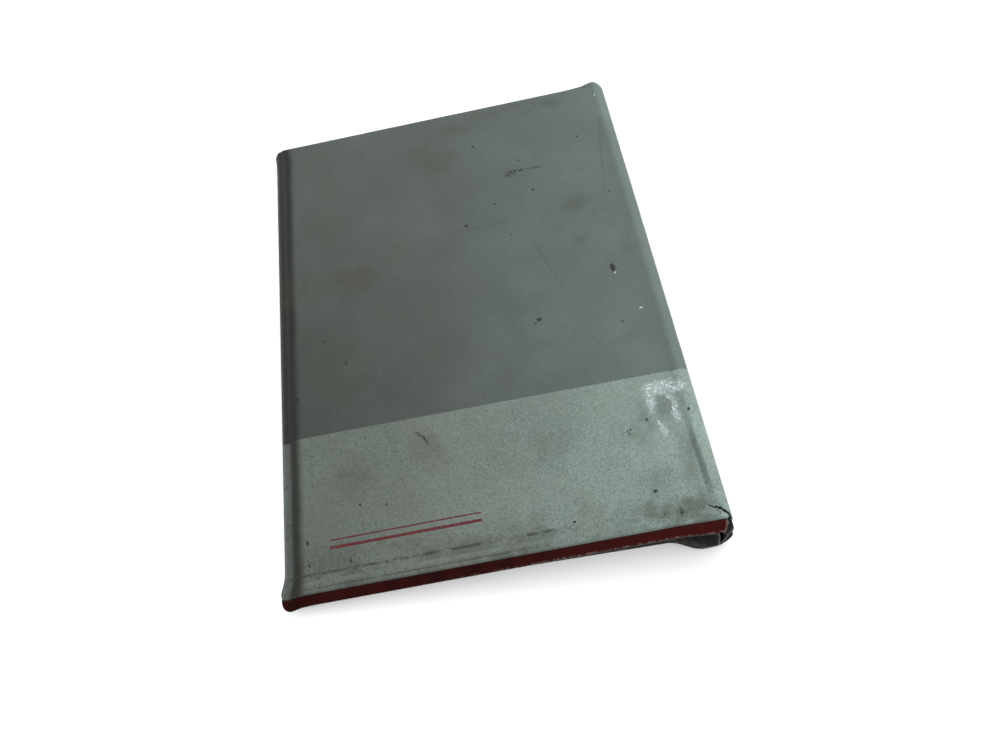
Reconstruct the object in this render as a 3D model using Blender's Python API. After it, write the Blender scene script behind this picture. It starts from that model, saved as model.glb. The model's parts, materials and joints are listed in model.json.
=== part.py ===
"""A slim A5 two-ring binder in padded, welded vinyl, lying closed on its back cover.

Metres, +Z up. +X is the spine, -X the fore-edge, +Y the head, -Y the tail. The origin is the
middle of the bounding box at the surface that the back cover lies on.

Every panel (back cover, spine, front cover) is drawn in a local frame whose Y axis is its hinge
crease: local +Z points out of the binder and local Z = 0 is the inner face of the lining.
"""

import math

import bmesh
import bpy
from mathutils import Matrix, Vector

MM = 0.001

# Driving dimensions
BINDER_WIDTH = 171.0 * MM  # fore-edge to the outside of the spine
PANEL_HEIGHT = 235.0 * MM  # head to tail, welded edges included
PANEL_THICKNESS = 4.6 * MM
SPINE_GAP = 15.8 * MM  # between the two linings at the spine
FORE_EDGE_GAP = 0.5 * MM  # between the two linings at the fore-edge
COVER_SKEW = 0.8 * MM  # each cover is racked this far: the front to the tail, the back to the head
CREASE_GAP = 3.0 * MM  # from a hinge axis to the end of the cover's panel
SPINE_MARGIN = 0.5 * MM  # from a hinge axis to the end of the spine's panel
CLEARANCE = 0.25 * MM  # between neighbouring pieces

# Layers of a panel, from the inside out
LINING = 0.4 * MM
BOARD = 1.8 * MM
PADDING = 1.15 * MM
PADDING_SLOPE = 0.9 * MM  # the padding's top is this much smaller all round
SKIN = 0.5 * MM

# Edges of a panel
WELD_EDGE = 4.0 * MM  # flat welded edge round the padded part
HINGE_EDGE = 1.2 * MM  # the same beside a crease
TAIL_STRIP = 3.3 * MM  # red strip outside the tail's welded edge
CORNER_RADIUS = 5.0 * MM
PAD_CORNER_RADIUS = 3.0 * MM
SHOULDER_RADIUS = 1.6 * MM
BAND_TOP = 63.3 * MM  # height of the light band above the tail strip
CREASE_INSET = 0.5 * MM  # the sheet round a crease stops this far short of head and tail

# Inner pocket on the front cover
POCKET_WIDTH = 118.0 * MM
POCKET_HEIGHT = 105.0 * MM
POCKET_MARGIN = 7.0 * MM
POCKET_SHEET = 0.3 * MM
POCKET_CORNER = 2.0 * MM

# Ring mechanism
MECH_FROM_HINGE = 15.4 * MM  # centre line of the mechanism to the hinge axes
RING_SPACING = 80.0 * MM
RING_RADIUS = 5.5 * MM  # of the wire's centre line
WIRE_RADIUS = 1.1 * MM
RING_CENTRE_HEIGHT = 6.0 * MM  # above the back lining
RING_FOOT_DEG = 219.5  # where a ring half ends inside the housing
RING_TIP_GAP = 0.3 * MM
HOUSING_HALF_WIDTH = 8.0 * MM
HOUSING_HALF_LENGTH = 62.0 * MM
HOUSING_RISE = 2.4 * MM
HOUSING_LIP = 1.9 * MM
HOUSING_PLATE = 0.7 * MM
RING_SLOT_INNER = 3.0 * MM  # slots in the housing, from its centre line
RING_SLOT_OUTER = 6.9 * MM
RING_SLOT_HALF_LENGTH = 1.7 * MM
RING_SLOT_CORNER = 0.5 * MM
RING_SLOT_DEPTH = 0.3 * MM  # down into the housing's sides, below the arch
LEAF_AXIS_X = 6.8 * MM  # leaf pivot, each side of the mechanism's centre line
LEAF_AXIS_HEIGHT = 1.25 * MM
LEAF_HALF_LENGTH = 59.2 * MM
LEAF_PLATE = 0.7 * MM
LEAF_HALF_GAP = 0.2 * MM  # from the centre line to a leaf's inner edge
LEAF_NOTCH_CLEARANCE = 0.8 * MM  # round a rivet's shank
PLATE_CORNER = 0.1 * MM
TRIGGER_AXIS_Y = 60.9 * MM
TRIGGER_AXIS_HEIGHT = 1.3 * MM
TRIGGER_BARREL_RADIUS = 0.9 * MM
TRIGGER_HALF_WIDTH = 4.0 * MM
TRIGGER_PLATE = 0.8 * MM
TRIGGER_PATH = (  # the tab's middle line in mm, outwards and upwards from the axis
    (0.0, 0.0),
    (1.9, 0.3),
    (2.4, 1.3),
    (3.2, 7.0),
    (3.8, 8.2),
    (4.9, 8.9),
)
BARREL_HALF_LENGTH = 4.4 * MM
TONGUE_HALF_WIDTH = 1.2 * MM
TONGUE_REACH = 2.9 * MM
TONGUE_BOTTOM = -0.8 * MM
TONGUE_TOP = -0.55 * MM
RIVET_Y = 50.0 * MM
RIVET_SHANK_RADIUS = 1.4 * MM
RIVET_HEAD_RADIUS = 2.8 * MM
RIVET_HEAD_HEIGHT = 0.9 * MM
RIVET_TAIL_RADIUS = 2.1 * MM
RIVET_TAIL_TIP_RADIUS = 1.6 * MM
RIVET_TAIL_HEIGHT = 0.45 * MM
WASHER_RADIUS = 3.2 * MM
WASHER_PLATE = 0.5 * MM

# Derived
HINGE_X = BINDER_WIDTH / 2 - PANEL_THICKNESS
COVER_WIDTH = BINDER_WIDTH - PANEL_THICKNESS
FRONT_TILT = math.asin((SPINE_GAP - FORE_EDGE_GAP) / COVER_WIDTH)
MECH_X = HINGE_X - MECH_FROM_HINGE
HALF_HEIGHT = PANEL_HEIGHT / 2
BOARD_INNER = LINING + CLEARANCE
PADDING_INNER = BOARD_INNER + BOARD + CLEARANCE
SKIN_INNER = PANEL_THICKNESS - SKIN

# Colours (linear), roughness, metallic
FINISHES = {
    "vinyl_dark": ((0.115, 0.135, 0.122), 0.55, 0.0),
    "vinyl_light": ((0.20, 0.235, 0.205), 0.5, 0.0),
    "vinyl_red": ((0.10, 0.006, 0.007), 0.45, 0.0),
    "lining_dark": ((0.016, 0.017, 0.016), 0.5, 0.0),
    "board_grey": ((0.28, 0.26, 0.22), 0.9, 0.0),
    "board_black": ((0.012, 0.012, 0.013), 0.8, 0.0),
    "foam": ((0.55, 0.52, 0.42), 0.95, 0.0),
    "nickel": ((0.55, 0.54, 0.52), 0.25, 1.0),
}


def clear_scene():
    for item in list(bpy.data.objects):
        bpy.data.objects.remove(item, do_unlink=True)


def material(slot):
    found = bpy.data.materials.get(slot)
    if found:
        return found
    color, roughness, metallic = FINISHES[slot]
    made = bpy.data.materials.new(slot)
    made.use_nodes = True
    shader = made.node_tree.nodes["Principled BSDF"]
    shader.inputs["Base Color"].default_value = (*color, 1.0)
    shader.inputs["Roughness"].default_value = roughness
    shader.inputs["Metallic"].default_value = metallic
    return made


def frame(name, location, tilt=0.0, parent=None):
    """An empty whose Y axis is a joint's axis; tilt turns it about Y."""
    empty = bpy.data.objects.new(name, None)
    bpy.context.collection.objects.link(empty)
    empty.location = location
    empty.rotation_euler = (0.0, tilt, 0.0)
    empty.parent = parent
    return empty


def add_object(name, bm, slot, parent, smooth_deg=40.0):
    """Turns a bmesh in the parent's local coordinates into a named object."""
    bmesh.ops.recalc_face_normals(bm, faces=bm.faces)
    mesh = bpy.data.meshes.new(name)
    bm.to_mesh(mesh)
    bm.free()
    mesh.shade_smooth()
    mesh.set_sharp_from_angle(angle=math.radians(smooth_deg))
    mesh.materials.append(material(slot))
    made = bpy.data.objects.new(name, mesh)
    bpy.context.collection.objects.link(made)
    made.parent = parent
    return made


def rounded_rect(x0, x1, y0, y1, low_radius, high_radius, steps=4):
    """Counter-clockwise (x, y) outline; low_radius is used at the x0 corners, high_radius at x1."""
    corners = (
        (x1, y0, high_radius, -90.0),
        (x1, y1, high_radius, 0.0),
        (x0, y1, low_radius, 90.0),
        (x0, y0, low_radius, 180.0),
    )
    outline = []
    for x, y, radius, start in corners:
        centre_x = x - math.copysign(radius, x - (x0 + x1) / 2)
        centre_y = y - math.copysign(radius, y - (y0 + y1) / 2)
        for step in range(steps + 1):
            angle = math.radians(start + 90.0 * step / steps)
            outline.append(
                (centre_x + radius * math.cos(angle), centre_y + radius * math.sin(angle))
            )
    return outline


def stacked(loops):
    """A closed solid through loops of equally many points, capped at the first and the last."""
    bm = bmesh.new()
    rings = [[bm.verts.new(point) for point in loop] for loop in loops]
    for ring, following in zip(rings, rings[1:]):
        for index in range(len(ring)):
            beside = (index + 1) % len(ring)
            bm.faces.new((ring[index], ring[beside], following[beside], following[index]))
    bm.faces.new(rings[0])
    bm.faces.new(rings[-1])
    return bm


def plate(x0, x1, y0, y1, z0, z1, low_radius, high_radius):
    """A flat sheet with rounded corners."""
    outline = rounded_rect(x0, x1, y0, y1, low_radius, high_radius)
    return stacked([[(x, y, z) for x, y in outline] for z in (z0, z1)])


def extruded(profile, start, end):
    """An (x, z) profile extruded along Y."""
    return stacked([[(x, y, z) for x, z in profile] for y in (start, end)])


def turned(profile, steps=20):
    """An (radius, z) profile, from axis to axis, spun round the Z axis."""
    bm = bmesh.new()
    points = [bm.verts.new((radius, 0.0, z)) for radius, z in profile]
    edges = [bm.edges.new(pair) for pair in zip(points, points[1:])]
    bmesh.ops.spin(
        bm, geom=points + edges, cent=(0, 0, 0), axis=(0, 0, 1), angle=math.tau, steps=steps
    )
    bmesh.ops.remove_doubles(bm, verts=bm.verts, dist=0.00001)
    return bm


def cut(target, cutter_bm, name):
    """Subtracts a shape, given in the target's local coordinates, with a Boolean."""
    cutter = add_object(name, cutter_bm, target.data.materials[0].name, target.parent)
    cutter.hide_render = True
    cutter.display_type = "WIRE"
    boolean = target.modifiers.new(name, "BOOLEAN")
    boolean.operation = "DIFFERENCE"
    boolean.solver = "EXACT"
    boolean.object = cutter


def keep_between(bm, y0, y1):
    """Cuts a closed shape off at two planes across Y and closes the cuts."""
    for y, outward in ((y0, -1.0), (y1, 1.0)):
        bmesh.ops.bisect_plane(
            bm,
            geom=bm.verts[:] + bm.edges[:] + bm.faces[:],
            plane_co=(0.0, y, 0.0),
            plane_no=(0.0, outward, 0.0),
            clear_outer=True,
        )
        open_edges = [edge for edge in bm.edges if edge.is_boundary]
        if open_edges:
            bmesh.ops.holes_fill(bm, edges=open_edges, sides=0)
    return bm


def skin_tray(x0, x1, y0, y1, edges, low_radius, high_radius):
    """The outer sheet of a panel: a shallow tray whose rim is the flat welded edge.

    edges are the rim's widths at x0, x1, the tail and the head.
    """
    low_edge, high_edge, tail_edge, head_edge = edges
    rim_bottom = BOARD_INNER
    rim_top = rim_bottom + SKIN

    def wall(inset, z):
        outline = rounded_rect(
            x0 + low_edge + inset,
            x1 - high_edge - inset,
            y0 + tail_edge + inset,
            y1 - head_edge - inset,
            PAD_CORNER_RADIUS,
            PAD_CORNER_RADIUS,
        )
        return [(x, y, z) for x, y in outline]

    def rim(z):
        outline = rounded_rect(x0, x1, y0, y1, low_radius, high_radius)
        return [(x, y, z) for x, y in outline]

    def shoulder(shift, top):
        loops = []
        for step in range(4):
            angle = math.radians(90.0 * step / 3)
            inset = shift + SHOULDER_RADIUS * (1 - math.sin(angle))
            loops.append(wall(inset, top - SHOULDER_RADIUS * (1 - math.cos(angle))))
        return loops

    outside = shoulder(0.0, PANEL_THICKNESS)
    inside = shoulder(SKIN, SKIN_INNER)
    return stacked(
        outside
        + [wall(0.0, rim_top), rim(rim_top), rim(rim_bottom), wall(SKIN, rim_bottom)]
        + inside[::-1]
    )


def panel(prefix, parent, x0, x1, skew, edges, radii, board_slot):
    """Lining, board, padding and the outer sheet, in its three colours, of one panel."""
    low_edge, high_edge, tail_edge, head_edge = edges
    tail = skew - HALF_HEIGHT
    head = skew + HALF_HEIGHT
    made = {}

    made["lining"] = add_object(
        prefix + "_lining", plate(x0, x1, tail, head, 0.0, LINING, *radii), "lining_dark", parent
    )

    inset = SKIN + CLEARANCE
    inner = (
        x0 + low_edge + inset,
        x1 - high_edge - inset,
        tail + tail_edge + inset,
        head - head_edge - inset,
    )
    made["board"] = add_object(
        prefix + "_board",
        plate(*inner, BOARD_INNER, BOARD_INNER + BOARD, PAD_CORNER_RADIUS, PAD_CORNER_RADIUS),
        board_slot,
        parent,
    )

    loops = []
    for z, shrink in ((PADDING_INNER, 0.0), (PADDING_INNER + PADDING, PADDING_SLOPE)):
        outline = rounded_rect(
            inner[0] + shrink,
            inner[1] - shrink,
            inner[2] + shrink,
            inner[3] - shrink,
            PAD_CORNER_RADIUS,
            PAD_CORNER_RADIUS,
        )
        loops.append([(x, y, z) for x, y in outline])
    made["padding"] = add_object(prefix + "_padding", stacked(loops), "foam", parent)

    strip_top = tail + TAIL_STRIP
    band_top = strip_top + BAND_TOP
    half_gap = CLEARANCE / 2
    zones = (
        ("tail_strip", "vinyl_red", tail - MM, strip_top - half_gap),
        ("skin_band", "vinyl_light", strip_top + half_gap, band_top - half_gap),
        ("skin_upper", "vinyl_dark", band_top + half_gap, head + MM),
    )
    for part, slot, low, high in zones:
        tray = skin_tray(x0, x1, tail, head, edges, *radii)
        made[part] = add_object(
            prefix + "_" + part, keep_between(tray, low, high), slot, parent
        )
    return made


def hinge_strip(name, parent, cover_tilt):
    """The outer sheet where it rounds the crease from a cover's panel to the spine.

    Drawn in the spine's frame turned so that X runs out of the spine and Z along it.
    """
    outer = PANEL_THICKNESS
    inner = PANEL_THICKNESS - SKIN
    arc_steps = 8
    lead = CREASE_GAP - CLEARANCE
    turn = math.pi / 2 + cover_tilt
    cover_dir = (-math.cos(cover_tilt), -math.sin(cover_tilt))
    normal = (math.cos(turn), math.sin(turn))

    def run(radius):
        first = [normal[axis] * radius + cover_dir[axis] * lead for axis in (0, 1)]
        points = [tuple(first)]
        for step in range(arc_steps + 1):
            angle = turn * (1 - step / arc_steps)
            points.append((radius * math.cos(angle), radius * math.sin(angle)))
        return points

    profile = run(outer) + run(inner)[::-1]
    half_length = HALF_HEIGHT - CREASE_INSET
    return add_object(name, extruded(profile, -half_length, half_length), "vinyl_dark", parent)


def arch(z_offset, half_width, steps=10):
    """Points of the housing's arch from +X to -X, z_offset inside its outer face."""
    chord = HOUSING_HALF_WIDTH
    radius = (chord**2 + HOUSING_RISE**2) / (2 * HOUSING_RISE)
    centre = HOUSING_LIP + HOUSING_RISE - radius
    reach = math.asin(half_width / (radius - z_offset))
    points = []
    for step in range(steps + 1):
        angle = reach * (1 - 2 * step / steps)
        points.append(
            (
                (radius - z_offset) * math.sin(angle),
                centre + (radius - z_offset) * math.cos(angle),
            )
        )
    return points


def ring_housing(parent):
    outer = [(HOUSING_HALF_WIDTH, CLEARANCE)] + arch(0.0, HOUSING_HALF_WIDTH)
    outer.append((-HOUSING_HALF_WIDTH, CLEARANCE))
    inner_half = HOUSING_HALF_WIDTH - HOUSING_PLATE
    inner = [(inner_half, CLEARANCE)] + arch(HOUSING_PLATE, inner_half)
    inner.append((-inner_half, CLEARANCE))
    bm = extruded(outer + inner[::-1], -HOUSING_HALF_LENGTH, HOUSING_HALF_LENGTH)
    housing = add_object("ring_housing", bm, "nickel", parent)

    top = HOUSING_LIP + HOUSING_RISE + MM
    bottom = HOUSING_LIP - RING_SLOT_DEPTH
    for side_name, side in (("left", -1), ("right", 1)):
        for end_name, end in (("head", 1), ("tail", -1)):
            x_pair = sorted((side * RING_SLOT_INNER, side * RING_SLOT_OUTER))
            y = end * RING_SPACING / 2
            y_pair = (y - RING_SLOT_HALF_LENGTH, y + RING_SLOT_HALF_LENGTH)
            slot = plate(*x_pair, *y_pair, bottom, top, RING_SLOT_CORNER, RING_SLOT_CORNER)
            cut(housing, slot, "cutter_slot_" + side_name + "_" + end_name)
    for end_name, end in (("head", 1), ("tail", -1)):
        hole = round_hole(0.0, end * RIVET_Y, RIVET_SHANK_RADIUS + CLEARANCE, HOUSING_LIP, top)
        cut(housing, hole, "cutter_housing_rivet_" + end_name)
    return housing


def round_hole(x, y, radius, z0, z1, steps=16):
    """A cylinder, as a cutter."""
    loops = []
    for z in (z0, z1):
        loops.append(
            [
                (
                    x + radius * math.cos(math.tau * step / steps),
                    y + radius * math.sin(math.tau * step / steps),
                    z,
                )
                for step in range(steps)
            ]
        )
    return stacked(loops)


def tube(points, radius, sides=10):
    """A round wire through points that lie in one XZ plane."""
    loops = []
    for index, point in enumerate(points):
        before = Vector(points[max(index - 1, 0)])
        after = Vector(points[min(index + 1, len(points) - 1)])
        along = (after - before).normalized()
        across = Vector((0.0, 1.0, 0.0))
        up = along.cross(across)
        loops.append(
            [
                Vector(point)
                + across * radius * math.cos(math.tau * step / sides)
                + up * radius * math.sin(math.tau * step / sides)
                for step in range(sides)
            ]
        )
    return stacked(loops)


def leaf_side(side_name, side):
    """One spring leaf and its two ring halves, on an empty on the leaf's pivot axis."""
    pivot = (MECH_X + side * LEAF_AXIS_X, 0.0, PANEL_THICKNESS + LEAF_AXIS_HEIGHT)
    axis = frame(side_name + "_leaf", pivot)
    to_centre = -side * LEAF_AXIS_X
    half_plate = LEAF_PLATE / 2
    x_pair = sorted((0.0, to_centre + side * LEAF_HALF_GAP))
    y_pair = (-LEAF_HALF_LENGTH, LEAF_HALF_LENGTH)
    bm = plate(*x_pair, *y_pair, -half_plate, half_plate, PLATE_CORNER, PLATE_CORNER)
    leaf = add_object("leaf_" + side_name, bm, "nickel", axis)
    for end_name, end in (("head", 1), ("tail", -1)):
        radius = RIVET_SHANK_RADIUS + LEAF_NOTCH_CLEARANCE
        notch = round_hole(to_centre, end * RIVET_Y, radius, -MM, MM)
        cut(leaf, notch, "cutter_notch_" + side_name + "_" + end_name)

    centre_height = RING_CENTRE_HEIGHT - LEAF_AXIS_HEIGHT
    tip_angle = math.asin(RING_TIP_GAP / 2 / RING_RADIUS)
    foot = math.radians(RING_FOOT_DEG) - math.pi / 2
    steps = 12
    for end_name, end in (("head", 1), ("tail", -1)):
        points = []
        for step in range(steps + 1):
            angle = tip_angle + (foot - tip_angle) * step / steps
            points.append(
                (
                    to_centre + side * RING_RADIUS * math.sin(angle),
                    end * RING_SPACING / 2,
                    centre_height + RING_RADIUS * math.cos(angle),
                )
            )
        add_object("ring_" + side_name + "_" + end_name, tube(points, WIRE_RADIUS), "nickel", axis)


def trigger(end_name, end):
    """Barrel, tongue and thumb tab of one trigger, on an empty on its pivot axis."""
    pivot = (MECH_X, end * TRIGGER_AXIS_Y, PANEL_THICKNESS + TRIGGER_AXIS_HEIGHT)
    axis = frame("trigger_" + end_name + "_axis", pivot)
    plate_half = TRIGGER_PLATE / 2
    path = [(y * MM, z * MM) for y, z in TRIGGER_PATH]
    above, below = [], []
    for index, (y, z) in enumerate(path):
        y_before, z_before = path[max(index - 1, 0)]
        y_after, z_after = path[min(index + 1, len(path) - 1)]
        length = math.hypot(y_after - y_before, z_after - z_before)
        normal_y = -(z_after - z_before) / length
        normal_z = (y_after - y_before) / length
        above.append((end * (y + normal_y * plate_half), z + normal_z * plate_half))
        below.append((end * (y - normal_y * plate_half), z - normal_z * plate_half))
    outline = above + below[::-1]
    bm = stacked([[(x, y, z) for y, z in outline] for x in (-TRIGGER_HALF_WIDTH, TRIGGER_HALF_WIDTH)])
    tab = add_object("trigger_" + end_name, bm, "nickel", axis)

    sides = 12
    barrel_loops = []
    for x in (-BARREL_HALF_LENGTH, BARREL_HALF_LENGTH):
        barrel_loops.append(
            [
                (
                    x,
                    TRIGGER_BARREL_RADIUS * math.cos(math.tau * (step + 0.5) / sides),
                    TRIGGER_BARREL_RADIUS * math.sin(math.tau * (step + 0.5) / sides),
                )
                for step in range(sides)
            ]
        )
    x_pair = (-TONGUE_HALF_WIDTH, TONGUE_HALF_WIDTH)
    y_pair = sorted((0.0, -end * TONGUE_REACH))
    tongue = plate(*x_pair, *y_pair, TONGUE_BOTTOM, TONGUE_TOP, PLATE_CORNER, PLATE_CORNER)
    for part, piece in (("barrel", stacked(barrel_loops)), ("tongue", tongue)):
        joined = add_object("joiner_" + part + "_" + end_name, piece, "nickel", axis)
        joined.hide_render = True
        joined.display_type = "WIRE"
        boolean = tab.modifiers.new(part, "BOOLEAN")
        boolean.operation = "UNION"
        boolean.solver = "EXACT"
        boolean.object = joined


def rivet(end_name, end, parent):
    """A dome-headed rivet down through housing, lining and board, closed over its washer."""
    y = end * RIVET_Y
    head_bottom = HOUSING_LIP + HOUSING_RISE + CLEARANCE
    board_bottom = -(BOARD_INNER + BOARD)
    washer_top = board_bottom - CLEARANCE
    washer_bottom = washer_top - WASHER_PLATE
    tail_top = washer_bottom - CLEARANCE
    tip = tail_top - RIVET_TAIL_HEIGHT
    profile = [(0.0, tip), (RIVET_TAIL_TIP_RADIUS, tip)]
    profile += [(RIVET_TAIL_RADIUS, tail_top), (RIVET_SHANK_RADIUS, tail_top)]
    profile += [(RIVET_SHANK_RADIUS, head_bottom), (RIVET_HEAD_RADIUS, head_bottom)]
    for step in range(1, 5):
        angle = math.radians(90.0 * step / 5)
        z = head_bottom + RIVET_HEAD_HEIGHT * math.sin(angle)
        profile.append((RIVET_HEAD_RADIUS * math.cos(angle), z))
    profile.append((0.0, head_bottom + RIVET_HEAD_HEIGHT))
    bm = turned(profile)
    bmesh.ops.translate(bm, verts=bm.verts, vec=(0.0, y, 0.0))
    add_object("rivet_" + end_name, bm, "nickel", parent)

    bore = RIVET_SHANK_RADIUS + CLEARANCE
    outline = [
        (bore, washer_bottom),
        (WASHER_RADIUS, washer_bottom),
        (WASHER_RADIUS, washer_top),
        (bore, washer_top),
        (bore, washer_bottom),
    ]
    washer = turned(outline)
    bmesh.ops.translate(washer, verts=washer.verts, vec=(0.0, y, 0.0))
    add_object("washer_" + end_name, washer, "nickel", parent)


def rivet_holes(back):
    """Holes for the rivets in the back lining, board and padding, in the back cover's frame."""
    x = MECH_FROM_HINGE
    shank = RIVET_SHANK_RADIUS + CLEARANCE
    pocket = WASHER_RADIUS + CLEARANCE
    low, high = -MM, PANEL_THICKNESS
    for end_name, end in (("head", 1), ("tail", -1)):
        y = end * RIVET_Y
        for part, radius in (("lining", shank), ("board", shank), ("padding", pocket)):
            hole = round_hole(x, y, radius, low, high)
            cut(back[part], hole, "cutter_" + part + "_" + end_name)


def front_pocket(parent, fore_edge, skew):
    """A welded pocket sheet on the inside of the front cover, open towards the head."""
    x0 = fore_edge + POCKET_MARGIN
    y0 = skew - HALF_HEIGHT + POCKET_MARGIN
    bm = plate(
        x0,
        x0 + POCKET_WIDTH,
        y0,
        y0 + POCKET_HEIGHT,
        -CLEARANCE - POCKET_SHEET,
        -CLEARANCE,
        POCKET_CORNER,
        POCKET_CORNER,
    )
    add_object("front_pocket", bm, "lining_dark", parent)


def build():
    clear_scene()
    back_axis = frame("back_cover", (HINGE_X, 0.0, PANEL_THICKNESS), math.pi)
    spine_axis = frame("spine", (HINGE_X, 0.0, PANEL_THICKNESS), math.pi / 2)
    front_axis = frame("front_cover", (-SPINE_GAP, 0.0, 0.0), -math.pi / 2 - FRONT_TILT, spine_axis)
    mechanism = frame("mechanism", (MECH_X, 0.0, PANEL_THICKNESS))
    spine_upright = frame("spine_upright", (HINGE_X, 0.0, PANEL_THICKNESS))
    crease_top = frame("crease_top", (HINGE_X, 0.0, PANEL_THICKNESS + SPINE_GAP))

    back = panel(
        "back",
        back_axis,
        CREASE_GAP,
        COVER_WIDTH,
        COVER_SKEW,
        (HINGE_EDGE, WELD_EDGE, WELD_EDGE + TAIL_STRIP, WELD_EDGE),
        (MM, CORNER_RADIUS),
        "board_grey",
    )
    panel(
        "spine",
        spine_axis,
        SPINE_MARGIN - SPINE_GAP,
        -SPINE_MARGIN,
        0.0,
        (SPINE_MARGIN, SPINE_MARGIN, WELD_EDGE + TAIL_STRIP, WELD_EDGE),
        (MM, MM),
        "board_black",
    )
    panel(
        "front",
        front_axis,
        -COVER_WIDTH,
        -CREASE_GAP,
        -COVER_SKEW,
        (WELD_EDGE, HINGE_EDGE, WELD_EDGE + TAIL_STRIP, WELD_EDGE),
        (CORNER_RADIUS, MM),
        "board_grey",
    )
    hinge_strip("front_hinge_strip", crease_top, FRONT_TILT)
    lower = hinge_strip("back_hinge_strip", spine_upright, 0.0)
    lower.data.transform(Matrix.Scale(-1.0, 4, (0.0, 0.0, 1.0)))
    lower.data.flip_normals()
    front_pocket(front_axis, -COVER_WIDTH, -COVER_SKEW)

    ring_housing(mechanism)
    for side_name, side in (("left", -1), ("right", 1)):
        leaf_side(side_name, side)
    for end_name, end in (("head", 1), ("tail", -1)):
        trigger(end_name, end)
        rivet(end_name, end, mechanism)
    rivet_holes(back)


build()
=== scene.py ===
"""The looks of the ring binder: worn, padded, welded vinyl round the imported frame."""

import json
import math

import bpy
import numpy as np
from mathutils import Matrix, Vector, noise


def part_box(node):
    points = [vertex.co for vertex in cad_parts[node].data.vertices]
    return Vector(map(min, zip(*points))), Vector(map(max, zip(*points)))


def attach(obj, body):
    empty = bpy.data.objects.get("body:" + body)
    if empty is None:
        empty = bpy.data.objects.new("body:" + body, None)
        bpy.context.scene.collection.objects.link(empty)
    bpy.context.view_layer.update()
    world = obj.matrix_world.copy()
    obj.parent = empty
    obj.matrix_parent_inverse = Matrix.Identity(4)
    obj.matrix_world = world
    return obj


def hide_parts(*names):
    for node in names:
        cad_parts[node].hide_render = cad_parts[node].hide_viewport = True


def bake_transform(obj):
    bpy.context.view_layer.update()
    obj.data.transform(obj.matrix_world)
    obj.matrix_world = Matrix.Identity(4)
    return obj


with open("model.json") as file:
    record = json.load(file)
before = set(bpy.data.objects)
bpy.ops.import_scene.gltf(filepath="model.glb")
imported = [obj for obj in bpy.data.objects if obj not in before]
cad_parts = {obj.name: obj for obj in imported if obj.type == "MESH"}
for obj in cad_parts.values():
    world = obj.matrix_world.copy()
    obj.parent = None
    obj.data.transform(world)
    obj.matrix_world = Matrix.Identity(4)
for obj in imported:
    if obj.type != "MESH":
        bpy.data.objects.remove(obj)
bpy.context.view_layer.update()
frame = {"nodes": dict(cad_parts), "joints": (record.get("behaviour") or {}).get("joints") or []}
MM = 0.001

# ---------------------------------------------------------------- sizes read from the frame
joints = {joint["name"]: joint for joint in frame["joints"]}
HINGE_X = joints["spine_hinge"]["pos_m"][0] / MM
LOWER_Z = joints["spine_hinge"]["pos_m"][2] / MM
UPPER_Z = joints["front_hinge"]["pos_m"][2] / MM
FORE_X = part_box("back_lining")[0][0] / MM
COVER_WIDTH = HINGE_X - FORE_X
THICKNESS = LOWER_Z
FORE_GAP = 0.5
TILT = math.asin((UPPER_Z - LOWER_Z - FORE_GAP) / COVER_WIDTH)
FRONT_TAIL, FRONT_HEAD = (corner[1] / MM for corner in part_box("front_lining"))
BACK_TAIL, BACK_HEAD = (corner[1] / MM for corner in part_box("back_lining"))
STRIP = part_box("front_tail_strip")[1][1] / MM - FRONT_TAIL
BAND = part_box("front_skin_band")[1][1] / MM - FRONT_TAIL - STRIP

# ---------------------------------------------------------------- shape of the outer sheet, in mm
SHEET = 0.45  # thickness of the outer vinyl
LINING = 0.4  # thickness of the lining
RIM = LINING + SHEET + 0.02  # outer face of the flat welded edge
FULL = THICKNESS - 0.25  # outer face of the padded panel, before its crown
FLANGE = 1.5  # height of the rounded edge beside the fore-edge weld
FORE_STEP = 3.0  # the panel starts to rise from the flange this far from the fore-edge
FORE_ROUND = 5.0  # and reaches its full height over this width
TAIL_ROUND = 13.0  # the same over the tail strip
HEAD_ROUND = 4.2  # and at the head edge
CROWN = 0.3  # the panel's middle stands this much over its edges
CROWN_RUN = 22.0  # and levels out over this distance
ROLL_RISE = 1.1  # the spine's roll stands out this far
STRIP_RISE = 0.7  # the tail strip slopes up this far from the rim
STRIP_RISE_AT_SPINE = 1.5  # and this much more beside the spine
TEAR_CURL = 0.45  # the torn edge stands up this far
FLARE = 2.4  # the fore-edge's tail corner stands out this far
FLARE_HEIGHT = 12.5  # over this height above the tail
EAR = 1.0  # the head corners at the spine stand up this far
CORNER_DROP = 1.5  # the fore-edge's tail corner hangs this far over the tail
STRIP_LIP = 0.8  # the tail strip's edge hangs this far over the tail
ROLL_DROP = 1.3  # the front's roll hangs this far over the tail
BACK_BULGE = 4.3  # the back's tail corner at the spine stands out this far over the tail
BACK_BULGE_OUT = 3.8  # and this far beyond the spine
CORNER = 5.0  # radius of the fore-edge corners
TEXTURE_SPAN = 250.0  # one unit of UV in mm
UV_MARGIN = 5.0  # the fore-edge lies this far inside the UV square
SHARP = math.radians(50.0)  # edges that turn more than this are shaded sharp
BAND_LEAN = 0.8  # the colour boundary lies this much higher at the fore-edge, lower at the spine
CREASE = COVER_WIDTH  # section length at which the sheet turns round the hinge
TEAR = (  # s, and height over the tail strip, along the tear in the front sheet
    (163.9, 164.7, 165.6, 166.4, 167.2, 168.0, 168.7, 169.4, 170.2, 171.5),
    (5.4, 4.9, 4.2, 4.1, 3.6, 3.5, 2.6, 2.3, 1.5, 1.0),
)


def smooth(low, high, value):
    t = np.clip((value - low) / (high - low), 0.0, 1.0)
    return t * t * (3 - 2 * t)


def bell(value, centre, width):
    return np.exp(-(((value - centre) / width) ** 2))


def dome(share):
    """0 to 1, steep at first and level at the end."""
    return 1 - (1 - np.clip(share, 0.0, 1.0)) ** 2.2


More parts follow.
